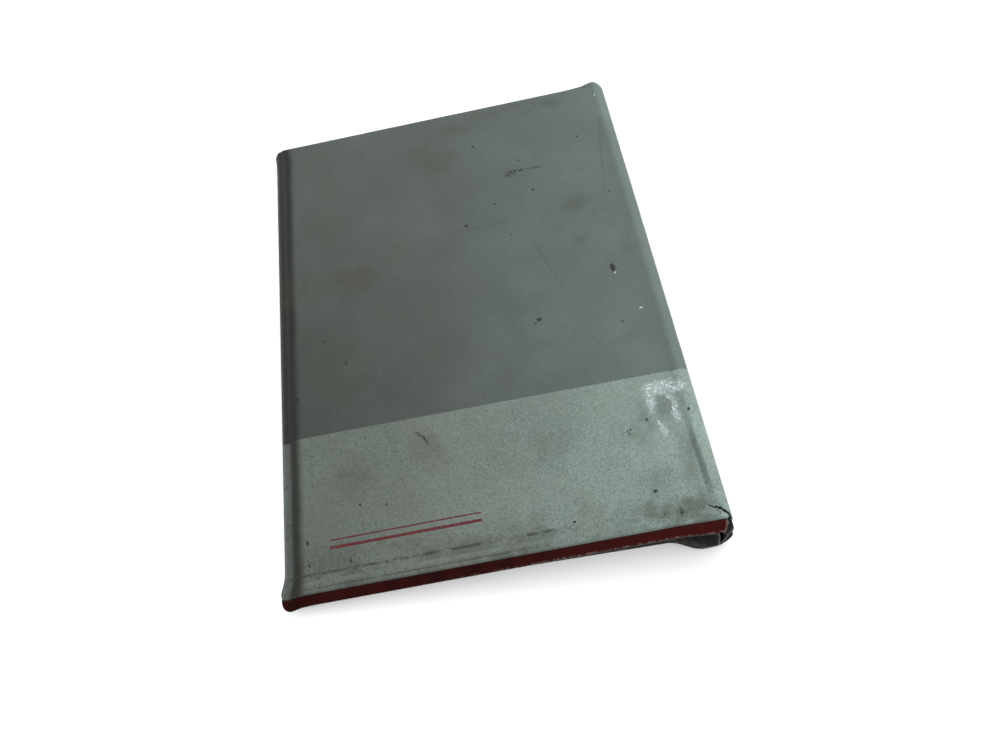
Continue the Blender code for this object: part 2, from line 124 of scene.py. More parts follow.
def lowest(*heights):
    """The least of several heights, with rounded transitions."""
    softness = 0.16
    total = sum(np.exp(-np.minimum(height, 60.0) / softness) for height in heights)
    return -softness * np.log(total)


def ruffle(s, y, size, seed):
    """Smooth noise from -1 to 1 over the sheet, features about size mm across."""
    flat_s, flat_y = np.ravel(s), np.ravel(y)
    found = [noise.noise(Vector((a / size, b / size, seed))) for a, b in zip(flat_s, flat_y)]
    return np.array(found).reshape(np.shape(s))


class Side:
    """One cover with its crease and its share of the spine, as a section that runs from the
    fore-edge (s = 0) over the panel, round the crease and along the spine."""

    def __init__(self, name, hinge_z, tilt, up, tail, head, spine_run):
        self.name = name
        self.hinge = np.array([HINGE_X, hinge_z])
        self.to_fore = np.array([-math.cos(tilt), -math.sin(tilt)])
        self.turn = math.pi / 2 + tilt
        self.up = up
        self.tail, self.head = tail, head
        self.turn_length = THICKNESS * self.turn
        self.length = COVER_WIDTH + self.turn_length + spine_run

    def place(self, s, height):
        """World x and z, in mm, at section length s and height above the lining's inner face."""
        before = np.clip(COVER_WIDTH - s, 0.0, None)
        after = np.clip(s - COVER_WIDTH - self.turn_length, 0.0, None)
        done = np.clip((s - COVER_WIDTH) / self.turn_length, 0.0, 1.0)
        angle = self.up * self.turn * (1.0 - done)
        x = self.hinge[0] + before * self.to_fore[0] + height * np.cos(angle)
        z = self.hinge[1] + before * self.to_fore[1] - self.up * after
        return x, np.maximum(z + height * np.sin(angle), 0.02)


FRONT = Side("front", UPPER_Z, TILT, 1, FRONT_TAIL, FRONT_HEAD, UPPER_Z - LOWER_Z - 0.5)
BACK = Side("back", LOWER_Z, 0.0, -1, BACK_TAIL, BACK_HEAD, 0.5)


def lines(*spans):
    """Grid lines through spans of (start, end, step)."""
    found = [spans[0][0]]
    for start, end, step in spans:
        if end - start < 0.01:
            continue
        count = max(1, round((end - start) / step))
        found += [start + (end - start) * (index + 1) / count for index in range(count)]
    return np.array(found)


def square_corner(s, y, side):
    """Pulls the grid's square corners at the fore-edge in to round ones."""
    for edge, sign in ((side.tail, 1.0), (side.head, -1.0)):
        a = np.clip((CORNER - s) / CORNER, 0.0, 1.0)
        b = np.clip((CORNER - sign * (y - edge)) / CORNER, 0.0, 1.0)
        inside = (a > 0) & (b > 0)
        round_a = a * np.sqrt(1 - b * b / 2)
        round_b = b * np.sqrt(1 - a * a / 2)
        s = np.where(inside, CORNER * (1 - round_a), s)
        y = np.where(inside, edge + sign * CORNER * (1 - round_b), y)
    return s, y


def strip_height(tail, rise):
    """The tail strip, sloping up from the rim."""
    return RIM + rise * np.sqrt(np.clip(tail / STRIP, 0.0, 1.0))


def panel_height(s, tail, head, near_spine, rise):
    """The padded panel, with its slopes to the fore-edge, the tail strip and the head."""
    inward = np.clip(np.minimum(np.minimum(s, tail), head), 0.0, None)
    full = FULL + CROWN * (1 - np.exp(-inward / CROWN_RUN))
    fore = RIM + (FLANGE - RIM) * smooth(0.0, 1.5, s)
    fore += (full - FLANGE) * dome((s - FORE_STEP) / FORE_ROUND)
    fore -= 0.12 * bell(s, 3.3, 0.5)  # the groove at the foot of the slope
    low = strip_height(tail, rise)
    low += (full - RIM - rise) * dome((tail - STRIP) / TAIL_ROUND)
    # the weld over the tail strip: a ridge with a groove above it, and the seam below
    low += 0.2 * bell(tail, 6.0, 1.3) - 0.14 * bell(tail, 9.6, 0.8) * (1 - near_spine)
    low -= 0.1 * bell(tail, STRIP, 0.35)
    high = RIM + (full - RIM) * dome(head / HEAD_ROUND)
    return lowest(fore, low, high) + 0.05


def roll_height(side, s, tail, head, rise):
    """The soft roll over the crease and along the spine, closed at both ends."""
    roll_start, roll_end = (1.0, 5.0) if side.up > 0 else (4.0, 7.0)
    spine_side = smooth(CREASE + roll_start, CREASE + roll_end, s)
    crest = THICKNESS - 0.1 + 0.15 * bell(s, CREASE + 2.5, 3.0) + ROLL_RISE * spine_side
    end = RIM + (crest - RIM) * dome(head / (2.2 + 3.6 * spine_side))
    start = strip_height(tail, rise)
    start += (crest - RIM - rise) * dome((tail - STRIP) / 6.0)
    start = start * (1 - spine_side) + (RIM + (crest - RIM) * dome(tail / 2.6)) * spine_side
    return lowest(end, start, crest)


def outer_height(side, s, y):
    """Height of the outer face over the lining's inner face, in mm."""
    tail, head = y - side.tail, side.head - y
    near_spine = smooth(CREASE - 22.0, CREASE + 2.0, s)
    rise = STRIP_RISE + STRIP_RISE_AT_SPINE * near_spine
    panel = panel_height(s, tail, head, near_spine, rise)
    roll = roll_height(side, s, tail, head, rise)
    rolled = smooth(CREASE - 6.0, CREASE + 0.5, s)
    height = panel * (1 - rolled) + roll * rolled

    padded = smooth(2.0, 9.0, np.minimum(np.minimum(s, tail - 2.0), head + 1.5))
    # the hinge crease, deeper toward the tail, and the sheet's waviness
    deeper = 0.28 + 0.55 * smooth(-35.0, -80.0, y)
    height -= deeper * bell(s, CREASE - 2.2, 1.8) * padded
    seed = 3.1 if side.up > 0 else 9.7
    height += padded * (
        0.12 * ruffle(s, y, 34.0, seed)
        + 0.07 * ruffle(s, y, 11.0, seed + 1)
        + 0.025 * ruffle(s, y, 3.5, seed + 2)
    )
    height += 0.16 * np.exp(-np.clip(tail, 0, None) / 13.0) * padded * ruffle(s, y, 5.0, seed + 3)
    height += 0.06 * (1 - padded) * ruffle(s, y * 0.5, 5.0, seed + 4)
    if side.up > 0:
        lip = y - (side.tail + STRIP) - tear_line(s)
        torn = smooth(TEAR[0][0] - 0.5, TEAR[0][0] + 1.5, s) * smooth(TEAR[0][-1] + 1.5, 169.0, s)
        height += TEAR_CURL * torn * np.where(lip > 0, np.exp(-lip / 1.1), 0.0)
    return height


def pushed(side, s, y):
    """How far the sheets stand out of the flat layout, in x and y, in mm."""
    tail, head = y - side.tail, side.head - y
    loose = 1 - smooth(3.0, 20.0, s)
    out_x = -0.35 * (1 - smooth(0.0, 6.0, s))
    flare = (1 - smooth(0.0, FLARE_HEIGHT, tail)) ** 1.3
    out_x = out_x - loose * FLARE * flare
    out_x -= loose * 0.9 * bell(head, 0.0, 7.0)
    ear = smooth(CREASE - 15.0, CREASE - 1.0, s)
    out_y = EAR * ear * bell(head, 0.0, 6.0)
    out_y = out_y + 0.25 * ruffle(s, y, 6.0, 31.0) * ear * bell(head, 0.0, 4.0)
    if side.up > 0:
        out_y -= 0.9 * smooth(CREASE - 16.0, CREASE - 2.0, s) * bell(tail, 0.0, 5.0)
        out_y -= CORNER_DROP * bell(s, 1.5, 4.5) * (1 - smooth(0.0, 7.0, tail))
        out_y -= STRIP_LIP * (1 - smooth(0.0, STRIP, tail))
        out_y -= ROLL_DROP * smooth(CREASE + 2.0, CREASE + 6.0, s) * (1 - smooth(0.0, 9.0, tail))
        out_x = out_x + 1.0 * smooth(CREASE + 6.0, CREASE + 10.0, s) * bell(tail, 0.0, 6.0)
    else:
        swell = smooth(CREASE - 17.0, CREASE - 3.0, s)
        over_spine = smooth(CREASE - 3.0, CREASE + 3.0, s)
        out_x = out_x + BACK_BULGE_OUT * over_spine * bell(tail, 0.0, 8.0)
        swell = swell * (1 - 0.2 * smooth(CREASE - 1.0, CREASE + 4.0, s))
        out_y -= BACK_BULGE * swell * np.exp(-np.clip(tail, 0, None) / 7.0)
        out_y -= 1.2 * bell(s, 17.0, 4.5) * bell(tail, 0.0, 4.0)
        out_y -= 0.4 * swell * ruffle(s, y, 5.0, 33.0) * bell(tail, 0.0, 4.0)
    return out_x, out_y


def tear_line(s):
    return np.interp(s, *TEAR)


def tear_mask(side, s, y):
    """True where the front sheet is slit, or torn away, at the spine's tail corner."""
    above = y - (side.tail + STRIP)
    jag = 0.22 * ruffle(s, y * 0.0, 0.8, 41.0)
    wide = 0.26 + 0.26 * smooth(164.5, 168.5, s)
    slit = (s > 164.0) & (s < 171.5) & (np.abs(above - tear_line(s) - jag) < wide)
    ragged = 169.9 + 0.7 * ruffle(y, s * 0.0, 1.4, 43.0)
    return slit | ((s > ragged) & (above < tear_line(s) + jag))


def outer_surface(side, s, y):
    """World points, in mm, of the outer face."""
    x, z = side.place(s, outer_height(side, s, y))
    lean = BAND_LEAN * (1 - 2 * np.clip(s, 0, COVER_WIDTH) / COVER_WIDTH)
    lean = lean * bell(y, side.tail + STRIP + BAND, 30.0)
    out_x, out_y = pushed(side, s, y)
    return x + out_x, y + out_y + lean, z


def grid_mesh(name, s_lines, y_lines, surface, side, torn=None):
    """A sheet over the grid, with UV in mm over TEXTURE_SPAN."""
    s, y = np.meshgrid(s_lines, y_lines)
    flat_s, flat_y = square_corner(s, y, side)
    x, across, z = surface(flat_s, flat_y)
    points = np.stack([x, across, z], axis=-1).reshape(-1, 3) * MM
    rows, columns = np.shape(s)
    first = (np.arange(rows - 1)[:, None] * columns + np.arange(columns - 1)).ravel()
    if torn is not None:
        mid_s = (s[:-1, :-1] + s[1:, 1:]) / 2
        mid_y = (y[:-1, :-1] + y[1:, 1:]) / 2
        first = first[~torn(side, mid_s, mid_y).ravel()]
    quads = np.stack([first, first + 1, first + columns + 1, first + columns], axis=-1)
    if side.up < 0:
        quads = quads[:, ::-1]
    used, quads = np.unique(quads, return_inverse=True)
    quads = quads.reshape(-1, 4)
    mesh = bpy.data.meshes.new(name)
    mesh.from_pydata(points[used].tolist(), [], quads.tolist())
    uv = mesh.uv_layers.new(name="sheet")
    u = ((np.ravel(flat_s) + UV_MARGIN) / TEXTURE_SPAN)[used]
    v = ((np.ravel(flat_y) + TEXTURE_SPAN / 2) / TEXTURE_SPAN)[used]
    uv.data.foreach_set("uv", np.stack([u[quads.ravel()], v[quads.ravel()]], axis=-1).ravel())
    mesh.shade_smooth()
    made = bpy.data.objects.new(name, mesh)
    bpy.context.collection.objects.link(made)
    return made


def thicken(piece, thickness):
    """Gives a sheet its thickness, on the inside of its outer face."""
    solid = piece.modifiers.new("thickness", "SOLIDIFY")
    solid.thickness = thickness * MM
    solid.offset = -1.0
    with bpy.context.temp_override(object=piece, active_object=piece):
        bpy.ops.object.modifier_apply(modifier=solid.name)
    piece.data.set_sharp_from_angle(angle=SHARP)
    return piece


# ---------------------------------------------------------------- colours and marks
DARK = (0.0830, 0.0982, 0.0893)  # upper vinyl
LIGHT = (0.140, 0.1665, 0.1460)  # vinyl of the band
RED = (0.0215, 0.0026, 0.0023)  # tail strip
SHADED_RED = (0.008, 0.006, 0.006)  # painted shade: the back's tail strip, made nearly black as it lies in shade under the front
DIRT = (0.026, 0.025, 0.020)
# painted shade for the fore-edge's slope
SLOPE_SHADE = (0.010, 0.0098, 0.008)
# darker colour for the fore-edge's flange
FLANGE_DARK = (0.013, 0.013, 0.011)
STAIN = (0.045, 0.043, 0.028)
BLACK = (0.010, 0.010, 0.009)
PALE_DUST = (0.50, 0.50, 0.45)
INK = (0.070, 0.0050, 0.0085)
# painted sheen and painted glint: light colours mixed into the wet patch's base colour
WET_PAINTED_SHEEN = (0.26, 0.33, 0.34)
WET_PAINTED_GLINT = (0.62, 0.68, 0.68)
VINYL_SPECULAR = 0.16
# Places on the sheet are s from the fore-edge and y from the binder's middle, in mm.
WET_RUNS = (  # centre, radii
    ((153.6, -63.0), (3.4, 6.0)),
    ((155.0, -75.5), (1.5, 4.5)),
    ((161.3, -68.0), (1.6, 7.5)),
)
STAINS = (  # centre, radii, strength
    ((80.0, 88.0), (17.0, 16.0), 0.50),
    ((82.0, 79.0), (9.0, 4.0), 0.30),
    ((22.0, 24.0), (36.0, 12.0), 0.48),
    ((38.0, 24.0), (12.0, 9.0), 0.55),
    ((130.0, 108.0), (36.0, 7.0), 0.52),
    ((90.0, 103.0), (16.0, 7.0), 0.34),
    ((144.0, 42.0), (10.0, 7.0), 0.34),
    ((154.0, 33.5), (7.0, 3.5), 0.50),
    ((142.0, 23.0), (6.0, 7.0), 0.36),
    ((161.5, 13.0), (4.0, 10.0), 0.36),
    ((118.0, 66.0), (22.0, 6.0), 0.22),
    ((58.0, 40.0), (18.0, 24.0), 0.18),
    ((26.0, -24.0), (24.0, 30.0), 0.30),
    ((30.0, -73.0), (14.0, 14.0), 0.46),
    ((62.0, -68.0), (12.0, 13.0), 0.32),
    ((112.0, -75.0), (14.0, 10.0), 0.24),
    ((88.0, -105.0), (24.0, 8.0), 0.28),
    ((147.5, -74.0), (6.0, 15.0), 0.42),
    ((158.3, -67.0), (5.0, 8.5), 0.42),
    ((152.0, -109.0), (24.0, 5.5), 0.62),
    ((150.0, -97.0), (12.0, 9.0), 0.32),
    ((161.5, -90.0), (5.0, 22.0), 0.34),
)
SCUFFS = (  # centre, radii, strength
    ((119.5, 68.0), (7.0, 1.5), 1.0),
    ((116.0, 66.2), (3.6, 1.2), 0.9),
    ((129.0, 67.8), (5.5, 0.7), 0.9),
    ((153.6, -110.6), (1.3, 2.6), 0.9),
    ((162.5, 113.2), (2.0, 1.4), 0.6),
    ((147.5, -110.8), (3.0, 1.2), 0.6),
)
SPECKS = (  # centre, radii
    ((125.6, 54.6), (1.0, 0.8)),
    ((101.3, 89.2), (0.9, 0.8)),
    ((91.6, 41.3), (1.1, 0.9)),
    ((106.6, 50.5), (0.7, 0.7)),
    ((121.9, 74.4), (0.6, 0.6)),
    ((111.3, 31.0), (0.6, 0.6)),
    ((152.4, 81.9), (0.8, 0.8)),
    ((116.0, -16.7), (1.4, 1.2)),
    ((114.2, -18.2), (0.8, 0.7)),
    ((7.8, -32.8), (1.1, 1.0)),
    ((20.6, -6.2), (0.8, 0.9)),
    ((29.9, -19.4), (0.7, 0.8)),
    ((152.5, 2.2), (1.5, 3.0)),
    ((160.4, 44.4), (0.6, 0.7)),
    ((150.6, -25.1), (0.6, 0.6)),
    ((113.7, -107.0), (0.8, 0.7)),
    ((26.7, -105.8), (0.7, 1.0)),
    ((146.1, -101.0), (1.2, 1.0)),
    ((149.7, -71.3), (0.7, 0.8)),
    ((167.0, -70.1), (0.7, 1.2)),
    ((141.3, -75.0), (0.5, 0.5)),
    ((142.6, -74.4), (0.4, 0.4)),
    ((141.9, -76.3), (0.4, 0.5)),
    ((10.0, -96.0), (0.7, 1.4)),
    ((10.4, -105.0), (0.7, 1.2)),
    ((42.5, -86.5), (0.6, 0.6)),
    ((32.0, -84.5), (0.7, 0.8)),
)
PALE_SPECKS = (  # centre, radii
    ((153.0, -0.4), (0.7, 0.8)),
    ((159.7, -20.4), (1.0, 0.7)),
    ((166.4, 106.9), (0.45, 1.3)),
)
SCRATCHES_AND_CREASE_SHADE = (  # start, end, half width, strength
    ((81.0, 39.1), (112.4, 38.9), 0.9, 0.14),
    ((119.7, 27.0), (129.6, -3.9), 0.8, 0.12),
    ((57.4, -58.6), (60.4, -61.4), 0.55, 0.70),
    ((60.2, -61.2), (61.8, -64.6), 0.55, 0.70),
    ((165.0, 92.0), (158.4, 46.0), 0.9, 0.15),
    # painted shade: the next three rows draw a dark line in the hinge crease, darkest toward the
    # tail
    ((165.2, -78.0), (166.3, -103.5), 1.7, 0.46),
    ((164.6, -50.0), (165.3, -78.0), 1.5, 0.16),
    ((163.4, 60.0), (163.0, -30.0), 0.7, 0.08),
)


# ---------------------------------------------------------------- materials
class Paint:
    """A Principled material and short calls that add nodes to it."""

    def __init__(self, name):
        self.material = bpy.data.materials.new(name)
        self.material.use_nodes = True
        self.tree = self.material.node_tree
        self.shader = self.tree.nodes["Principled BSDF"]

    def node(self, kind, inputs=(), **settings):
        made = self.tree.nodes.new(kind)
        for key, value in settings.items():
            setattr(made, key, value)
        for key, value in dict(inputs).items():
            self.put(made.inputs[key], value)
        return made

    def put(self, socket, value):
        if isinstance(value, bpy.types.NodeSocket):
            self.tree.links.new(value, socket)
        elif value is not None:
            socket.default_value = value

    def sheet_mm(self):
        """The UV place, in mm: x from the fore-edge, y from the binder's middle."""
        uv = self.node("ShaderNodeUVMap", uv_map="sheet").outputs[0]
        scaled = self.vector("MULTIPLY", uv, (TEXTURE_SPAN, TEXTURE_SPAN, 0.0))
        return self.vector("SUBTRACT", scaled, (UV_MARGIN, TEXTURE_SPAN / 2, 0.0))

    def object_mm(self):
        place = self.node("ShaderNodeTexCoord").outputs["Object"]
        return self.vector("MULTIPLY", place, (1 / MM, 1 / MM, 1 / MM))

    def vector(self, operation, a, b=None):
        made = self.node("ShaderNodeVectorMath", operation=operation)
        self.put(made.inputs[0], a)
        self.put(made.inputs[1], b)
        return made.outputs["Value" if operation in ("LENGTH", "DOT_PRODUCT") else "Vector"]

    def math(self, operation, a, b=None):
        made = self.node("ShaderNodeMath", operation=operation)
        self.put(made.inputs[0], a)
        self.put(made.inputs[1], b)
        return made.outputs[0]

    def noise(self, place, size, detail=3.0, roughness=0.55, seed=0.0):
        """0 to 1, features about size mm across."""
        moved = self.vector("ADD", place, (seed * 13.7, seed * 7.3, seed * 3.1))
        return self.node(
            "ShaderNodeTexNoise",
            {"Vector": moved, "Scale": 1.0 / size, "Detail": detail, "Roughness": roughness},
        ).outputs[0]

    def steps(self, value, low, high):
        """0 below low and 1 above high, or the other way round if low is above high."""
        return self.node(
            "ShaderNodeMapRange",
            {"Value": value, "From Min": low, "From Max": high},
            interpolation_type="SMOOTHSTEP",
        ).outputs[0]

    def mix(self, share, a, b):
        made = self.node("ShaderNodeMix", data_type="RGBA")
        self.put(made.inputs[0], share)
        self.put(made.inputs[6], a if isinstance(a, bpy.types.NodeSocket) else (*a, 1.0))
        self.put(made.inputs[7], b if isinstance(b, bpy.types.NodeSocket) else (*b, 1.0))
        return made.outputs[2]

    def multiply(self, *values):
        total = values[0]
        for value in values[1:]:
            total = self.math("MULTIPLY", total, value)
        return total

    def split(self, place):
        made = self.node("ShaderNodeSeparateXYZ", {0: place})
        return made.outputs[0], made.outputs[1]

    def patch(self, place, centre, radii, soft=0.5):
        """1 inside an ellipse, falling to 0 at its edge over the soft share of its radius."""
        away = self.vector("SUBTRACT", place, (*centre, 0.0))
        away = self.vector("DIVIDE", away, (*radii, 1.0))
        return self.steps(self.vector("LENGTH", away), 1.0, 1.0 - soft)

    def hair(self, place, start, end, half):
        """1 along a thin straight line between two points, in mm."""
        run = Vector((end[0] - start[0], end[1] - start[1], 0.0))
        length, run = run.length, run.normalized()
        away = self.vector("SUBTRACT", place, (*start, 0.0))
        along = self.vector("DOT_PRODUCT", away, tuple(run))
        across = self.vector("DOT_PRODUCT", away, (-run[1], run[0], 0.0))
        beside = self.steps(self.math("ABSOLUTE", across), half, 0.3 * half)
        fade = max(0.6, 0.22 * length)
        ends = self.steps(along, -fade, fade)
        ends = self.multiply(ends, self.steps(along, length + fade, length - fade))
        return self.multiply(beside, ends)

    def ramp(self, value, low, high, at_low, at_high):
        """A straight ramp between two values."""
        return self.node(
            "ShaderNodeMapRange",
            {
                "Value": value,
                "From Min": low,
                "From Max": high,
                "To Min": at_low,
                "To Max": at_high,
            },
        ).outputs[0]

    def dim(self, color, share):
        made = self.node("ShaderNodeVectorMath", {"Scale": share}, operation="SCALE")
        self.put(made.inputs[0], color)
        return made.outputs[0]

    def bump(self, height, distance, strength=1.0, normal=None):
        made = self.node(
            "ShaderNodeBump", {"Height": height, "Distance": distance * MM, "Strength": strength}
        )
        self.put(made.inputs["Normal"], normal)
        return made.outputs[0]

    def finish(self, color, roughness, normal=None, **constants):
        self.put(self.shader.inputs["Base Color"], color)
        self.put(self.shader.inputs["Roughness"], roughness)
        self.put(self.shader.inputs["Normal"], normal)
        for key, value in constants.items():
            self.shader.inputs[key.replace("_", " ")].default_value = value
        return self.material


def toned(base, share):
    """A colour made darker or lighter."""
    return tuple(channel * share for channel in base)


def vinyl(name, base, seed, side, grain_depth, flange_darkening, painted_light):
    """Worn, slightly leathery vinyl with grime, stains and scuffs at the sheet's own places,
    painted light and shade across it, and a painted sheen with painted glints on the front's wet
    patch.
    """
    p = Paint(name)
    place = p.sheet_mm()
    s, y = p.split(place)
    over_strip = p.math("SUBTRACT", y, side.tail + STRIP)
    wander = p.noise(place, 14.0, 4.0, 0.6, seed)
    fine = p.noise(place, 2.4, 4.0, 0.65, seed + 2)
    grain = p.noise(place, 0.75, 3.0, 0.6, seed + 3)
    pores = p.noise(place, 0.55, 1.0, 0.5, seed + 4)

    color = vinyl_tone(p, place, base, seed, grain_depth, (wander, fine, grain))
    # painted light and shade over the whole sheet
    color = painted_light_gradient(p, color, s, y, painted_light)
    color = tail_grime(p, color, place, (s, over_strip), wander, seed)
    color, slope = edge_shade_and_dirt(p, color, place, base, wander, side, flange_darkening, seed)
    color = weld_lines(p, color, place, base, (s, over_strip), wander, seed)

    rough = p.math("ADD", p.multiply(p.noise(place, 6.0, 4.0, 0.6, seed + 8), 0.2), 0.42)
    rough = p.math("ADD", rough, p.multiply(slope, 0.25))
    height = p.math("ADD", p.multiply(grain, 0.6), p.multiply(pores, 0.4))
    normal = p.bump(fine, 0.12, 0.5)
    specular = p.shader.inputs["Specular IOR Level"]
    p.put(specular, VINYL_SPECULAR)
    if side.up > 0:
        bent = bent_far(p, place)
        color = worn_marks(p, color, place, bent, seed)
        wet, sparkle = wet_patch(p, place, bent)
        rough = p.math("SUBTRACT", rough, p.multiply(wet, 0.33))
        p.put(specular, p.math("ADD", p.multiply(wet, 0.22), VINYL_SPECULAR))
        # painted sheen and painted glints on the wet patch, lightening its base colour
        color = p.mix(p.multiply(wet, 0.40), color, WET_PAINTED_SHEEN)
        painted_glint = p.multiply(wet, p.steps(sparkle, 0.55, 0.62))
        color = p.mix(p.multiply(painted_glint, 0.7), color, WET_PAINTED_GLINT)
        normal = p.bump(p.multiply(sparkle, wet), 0.20, 0.7, normal)
    normal = p.bump(height, 0.09, 0.35 + grain_depth, normal)
    return p.finish(color, rough, normal)


def vinyl_tone(p, place, base, seed, grain_depth, noises):
    """The vinyl's own colour, cloudy and grained, with sallow patches."""
    wander, fine, grain = noises
    broad = p.noise(place, 42.0, 3.0, 0.5, seed + 1)
    color = p.mix(p.steps(broad, 0.32, 0.68), toned(base, 0.90), toned(base, 1.08))
    color = p.mix(p.multiply(p.steps(wander, 0.42, 0.68), 0.48), color, toned(base, 0.84))
    color = p.mix(p.multiply(p.steps(fine, 0.52, 0.74), grain_depth), color, toned(base, 0.72))
    color = p.mix(p.multiply(p.steps(grain, 0.50, 0.66), grain_depth), color, toned(base, 0.50))
    color = p.mix(p.multiply(p.steps(grain, 0.46, 0.32), grain_depth), color, toned(base, 1.38))
    tan = (base[0] * 0.92, base[1] * 0.86, base[2] * 0.72)
    sallow = p.steps(p.noise(place, 20.0, 4.0, 0.6, seed + 9), 0.46, 0.70)
    return p.mix(p.multiply(sallow, 0.35), color, tan)


def painted_light_gradient(p, color, s, y, painted_light):
    """Painted light and shade: darker at the fore-edge and tail, lighter toward the spine, with a
    painted highlight along the roll and a painted cool sheen toward the spine.
    """
    at_fore, at_spine, tail_shade, roll_highlight = painted_light
    across = p.math("POWER", p.ramp(s, 8.0, CREASE - 10.0, 0.0, 1.0), 1.5)
    light_share = p.ramp(across, 0.0, 1.0, at_fore, at_spine)
    tail_shade_share = p.multiply(p.steps(y, 60.0, -50.0), p.steps(s, 150.0, 0.0), tail_shade)
    light_share = p.math("SUBTRACT", light_share, tail_shade_share)
    # painted highlight along the roll over the spine
    roll_highlight_share = p.multiply(p.steps(s, CREASE - 1, CREASE + 3), roll_highlight)
    color = p.dim(color, p.math("ADD", light_share, roll_highlight_share))
    # painted cool sheen toward the spine
    cool_sheen = p.vector("MULTIPLY", color, (0.96, 1.05, 1.10))
    return p.mix(p.steps(s, 50.0, 160.0), color, cool_sheen)


def tail_grime(p, color, place, where, wander, seed):
    """Dark specks and smudges that thicken toward the tail and its fore-edge corner."""
    s, over_strip = where
    speckle = p.steps(p.noise(place, 1.0, 4.0, 0.75, seed + 5), 0.54, 0.67)
    tail_zone = p.steps(over_strip, 26.0, 3.0)
    corner_zone = p.multiply(p.steps(s, 60.0, 8.0), tail_zone)
    grime = p.math("ADD", p.multiply(tail_zone, 0.50), p.multiply(corner_zone, 0.55))
    grime = p.multiply(p.math("ADD", grime, 0.07), speckle)
    color = p.mix(p.math("MINIMUM", grime, 0.8), color, DIRT)
    smudge = p.multiply(p.steps(over_strip, 20.0, 2.0), p.steps(wander, 0.42, 0.60), 0.42)
    return p.mix(smudge, color, DIRT)


def edge_shade_and_dirt(p, color, place, base, wander, side, flange_darkening, seed):
    """Painted shade on the fore-edge's slope, the darker flange with dark ticks, the pale head
    rim, and the slope's mask.
    """
    s, y = p.split(place)
    ragged = p.math("ADD", s, p.multiply(p.math("SUBTRACT", wander, 0.5), 2.2))
    slope = p.multiply(p.steps(ragged, 9.8, 5.8), p.steps(s, 2.0, 4.2))
    # painted shade: the slope down to the fore-edge darkened as if turned away from the light
    color = p.mix(p.multiply(slope, 0.92), color, SLOPE_SHADE)
    flange = p.steps(s, 3.9, 2.4)
    ticks = p.noise(p.vector("MULTIPLY", place, (0.25, 1.0, 1.0)), 1.1, 2.0, 0.6, seed + 6)
    ticks = p.multiply(flange, p.steps(ticks, 0.60, 0.66), 0.7)
    # the flange darkened, much more on the upper vinyl than on the band
    color = p.mix(p.multiply(flange, flange_darkening), color, FLANGE_DARK)
    color = p.mix(p.multiply(p.steps(s, 0.9, 0.3), 0.5), color, toned(base, 0.85))
    color = p.mix(ticks, color, DIRT)
    head_rim = p.steps(y, side.head - 1.5, side.head - 0.7)
    return p.mix(p.multiply(head_rim, 0.55), color, toned(base, 1.7)), slope


def weld_lines(p, color, place, base, where, wander, seed):
    """Dirty lines along the weld over the tail strip, and a painted highlight that makes its ridge
    paler.
    """
    s, over_strip = where
    breaks = p.noise(p.vector("MULTIPLY", place, (0.35, 0.35, 1.0)), 2.2, 4.0, 0.7, seed + 7)

    def beside(distance, outer, inner):
        away = p.math("ABSOLUTE", p.math("SUBTRACT", over_strip, distance))
        return p.steps(away, outer, inner)

    line = p.multiply(beside(6.6, 0.8, 0.2), p.steps(breaks, 0.40, 0.54), p.steps(s, 118.0, 98.0))
    color = p.mix(p.multiply(line, 0.80), color, DIRT)
    # painted highlight: the ridge over the weld is lightened as if it caught the light
    ridge_highlight = p.multiply(beside(3.4, 1.3, 0.2), p.steps(s, 6.0, 14.0), p.steps(wander, 0.35, 0.6))
    color = p.mix(p.multiply(ridge_highlight, 0.30), color, toned(base, 1.1))
    thin = p.multiply(beside(1.7, 0.5, 0.1), p.steps(breaks, 0.36, 0.50), p.steps(s, 110.0, 80.0))
    color = p.mix(p.multiply(thin, 0.55), color, DIRT)
    return p.mix(p.multiply(p.steps(over_strip, 1.2, 0.0), 0.5), color, DIRT)


def bent_far(p, place):
    """The place, moved well away by noise, for stains with uneven outlines."""
    drift = p.node("ShaderNodeTexNoise", {"Vector": place, "Scale": 1 / 8.0, "Detail": 4.0})
    shift = p.vector("SUBTRACT", drift.outputs[1], (0.5, 0.5, 0.5))
    return p.vector("ADD", place, p.vector("MULTIPLY", shift, (10.0, 10.0, 0.0)))


def wet_patch(p, place, bent):
    """A glossy, blistered patch beside the spine: its mask, and the height of its blisters."""
    wet = p.patch(bent, (160.0, -58.4), (11.0, 4.4), 0.45)
    for centre, radii in WET_RUNS:
        wet = p.math("MAXIMUM", wet, p.patch(bent, centre, radii, 0.5))
    gaps = p.steps(p.noise(place, 4.5, 4.0, 0.65, 7.7), 0.36, 0.50)
    blisters = p.noise(place, 0.8, 3.0, 0.7, 9.1)
    return p.multiply(wet, gaps), blisters


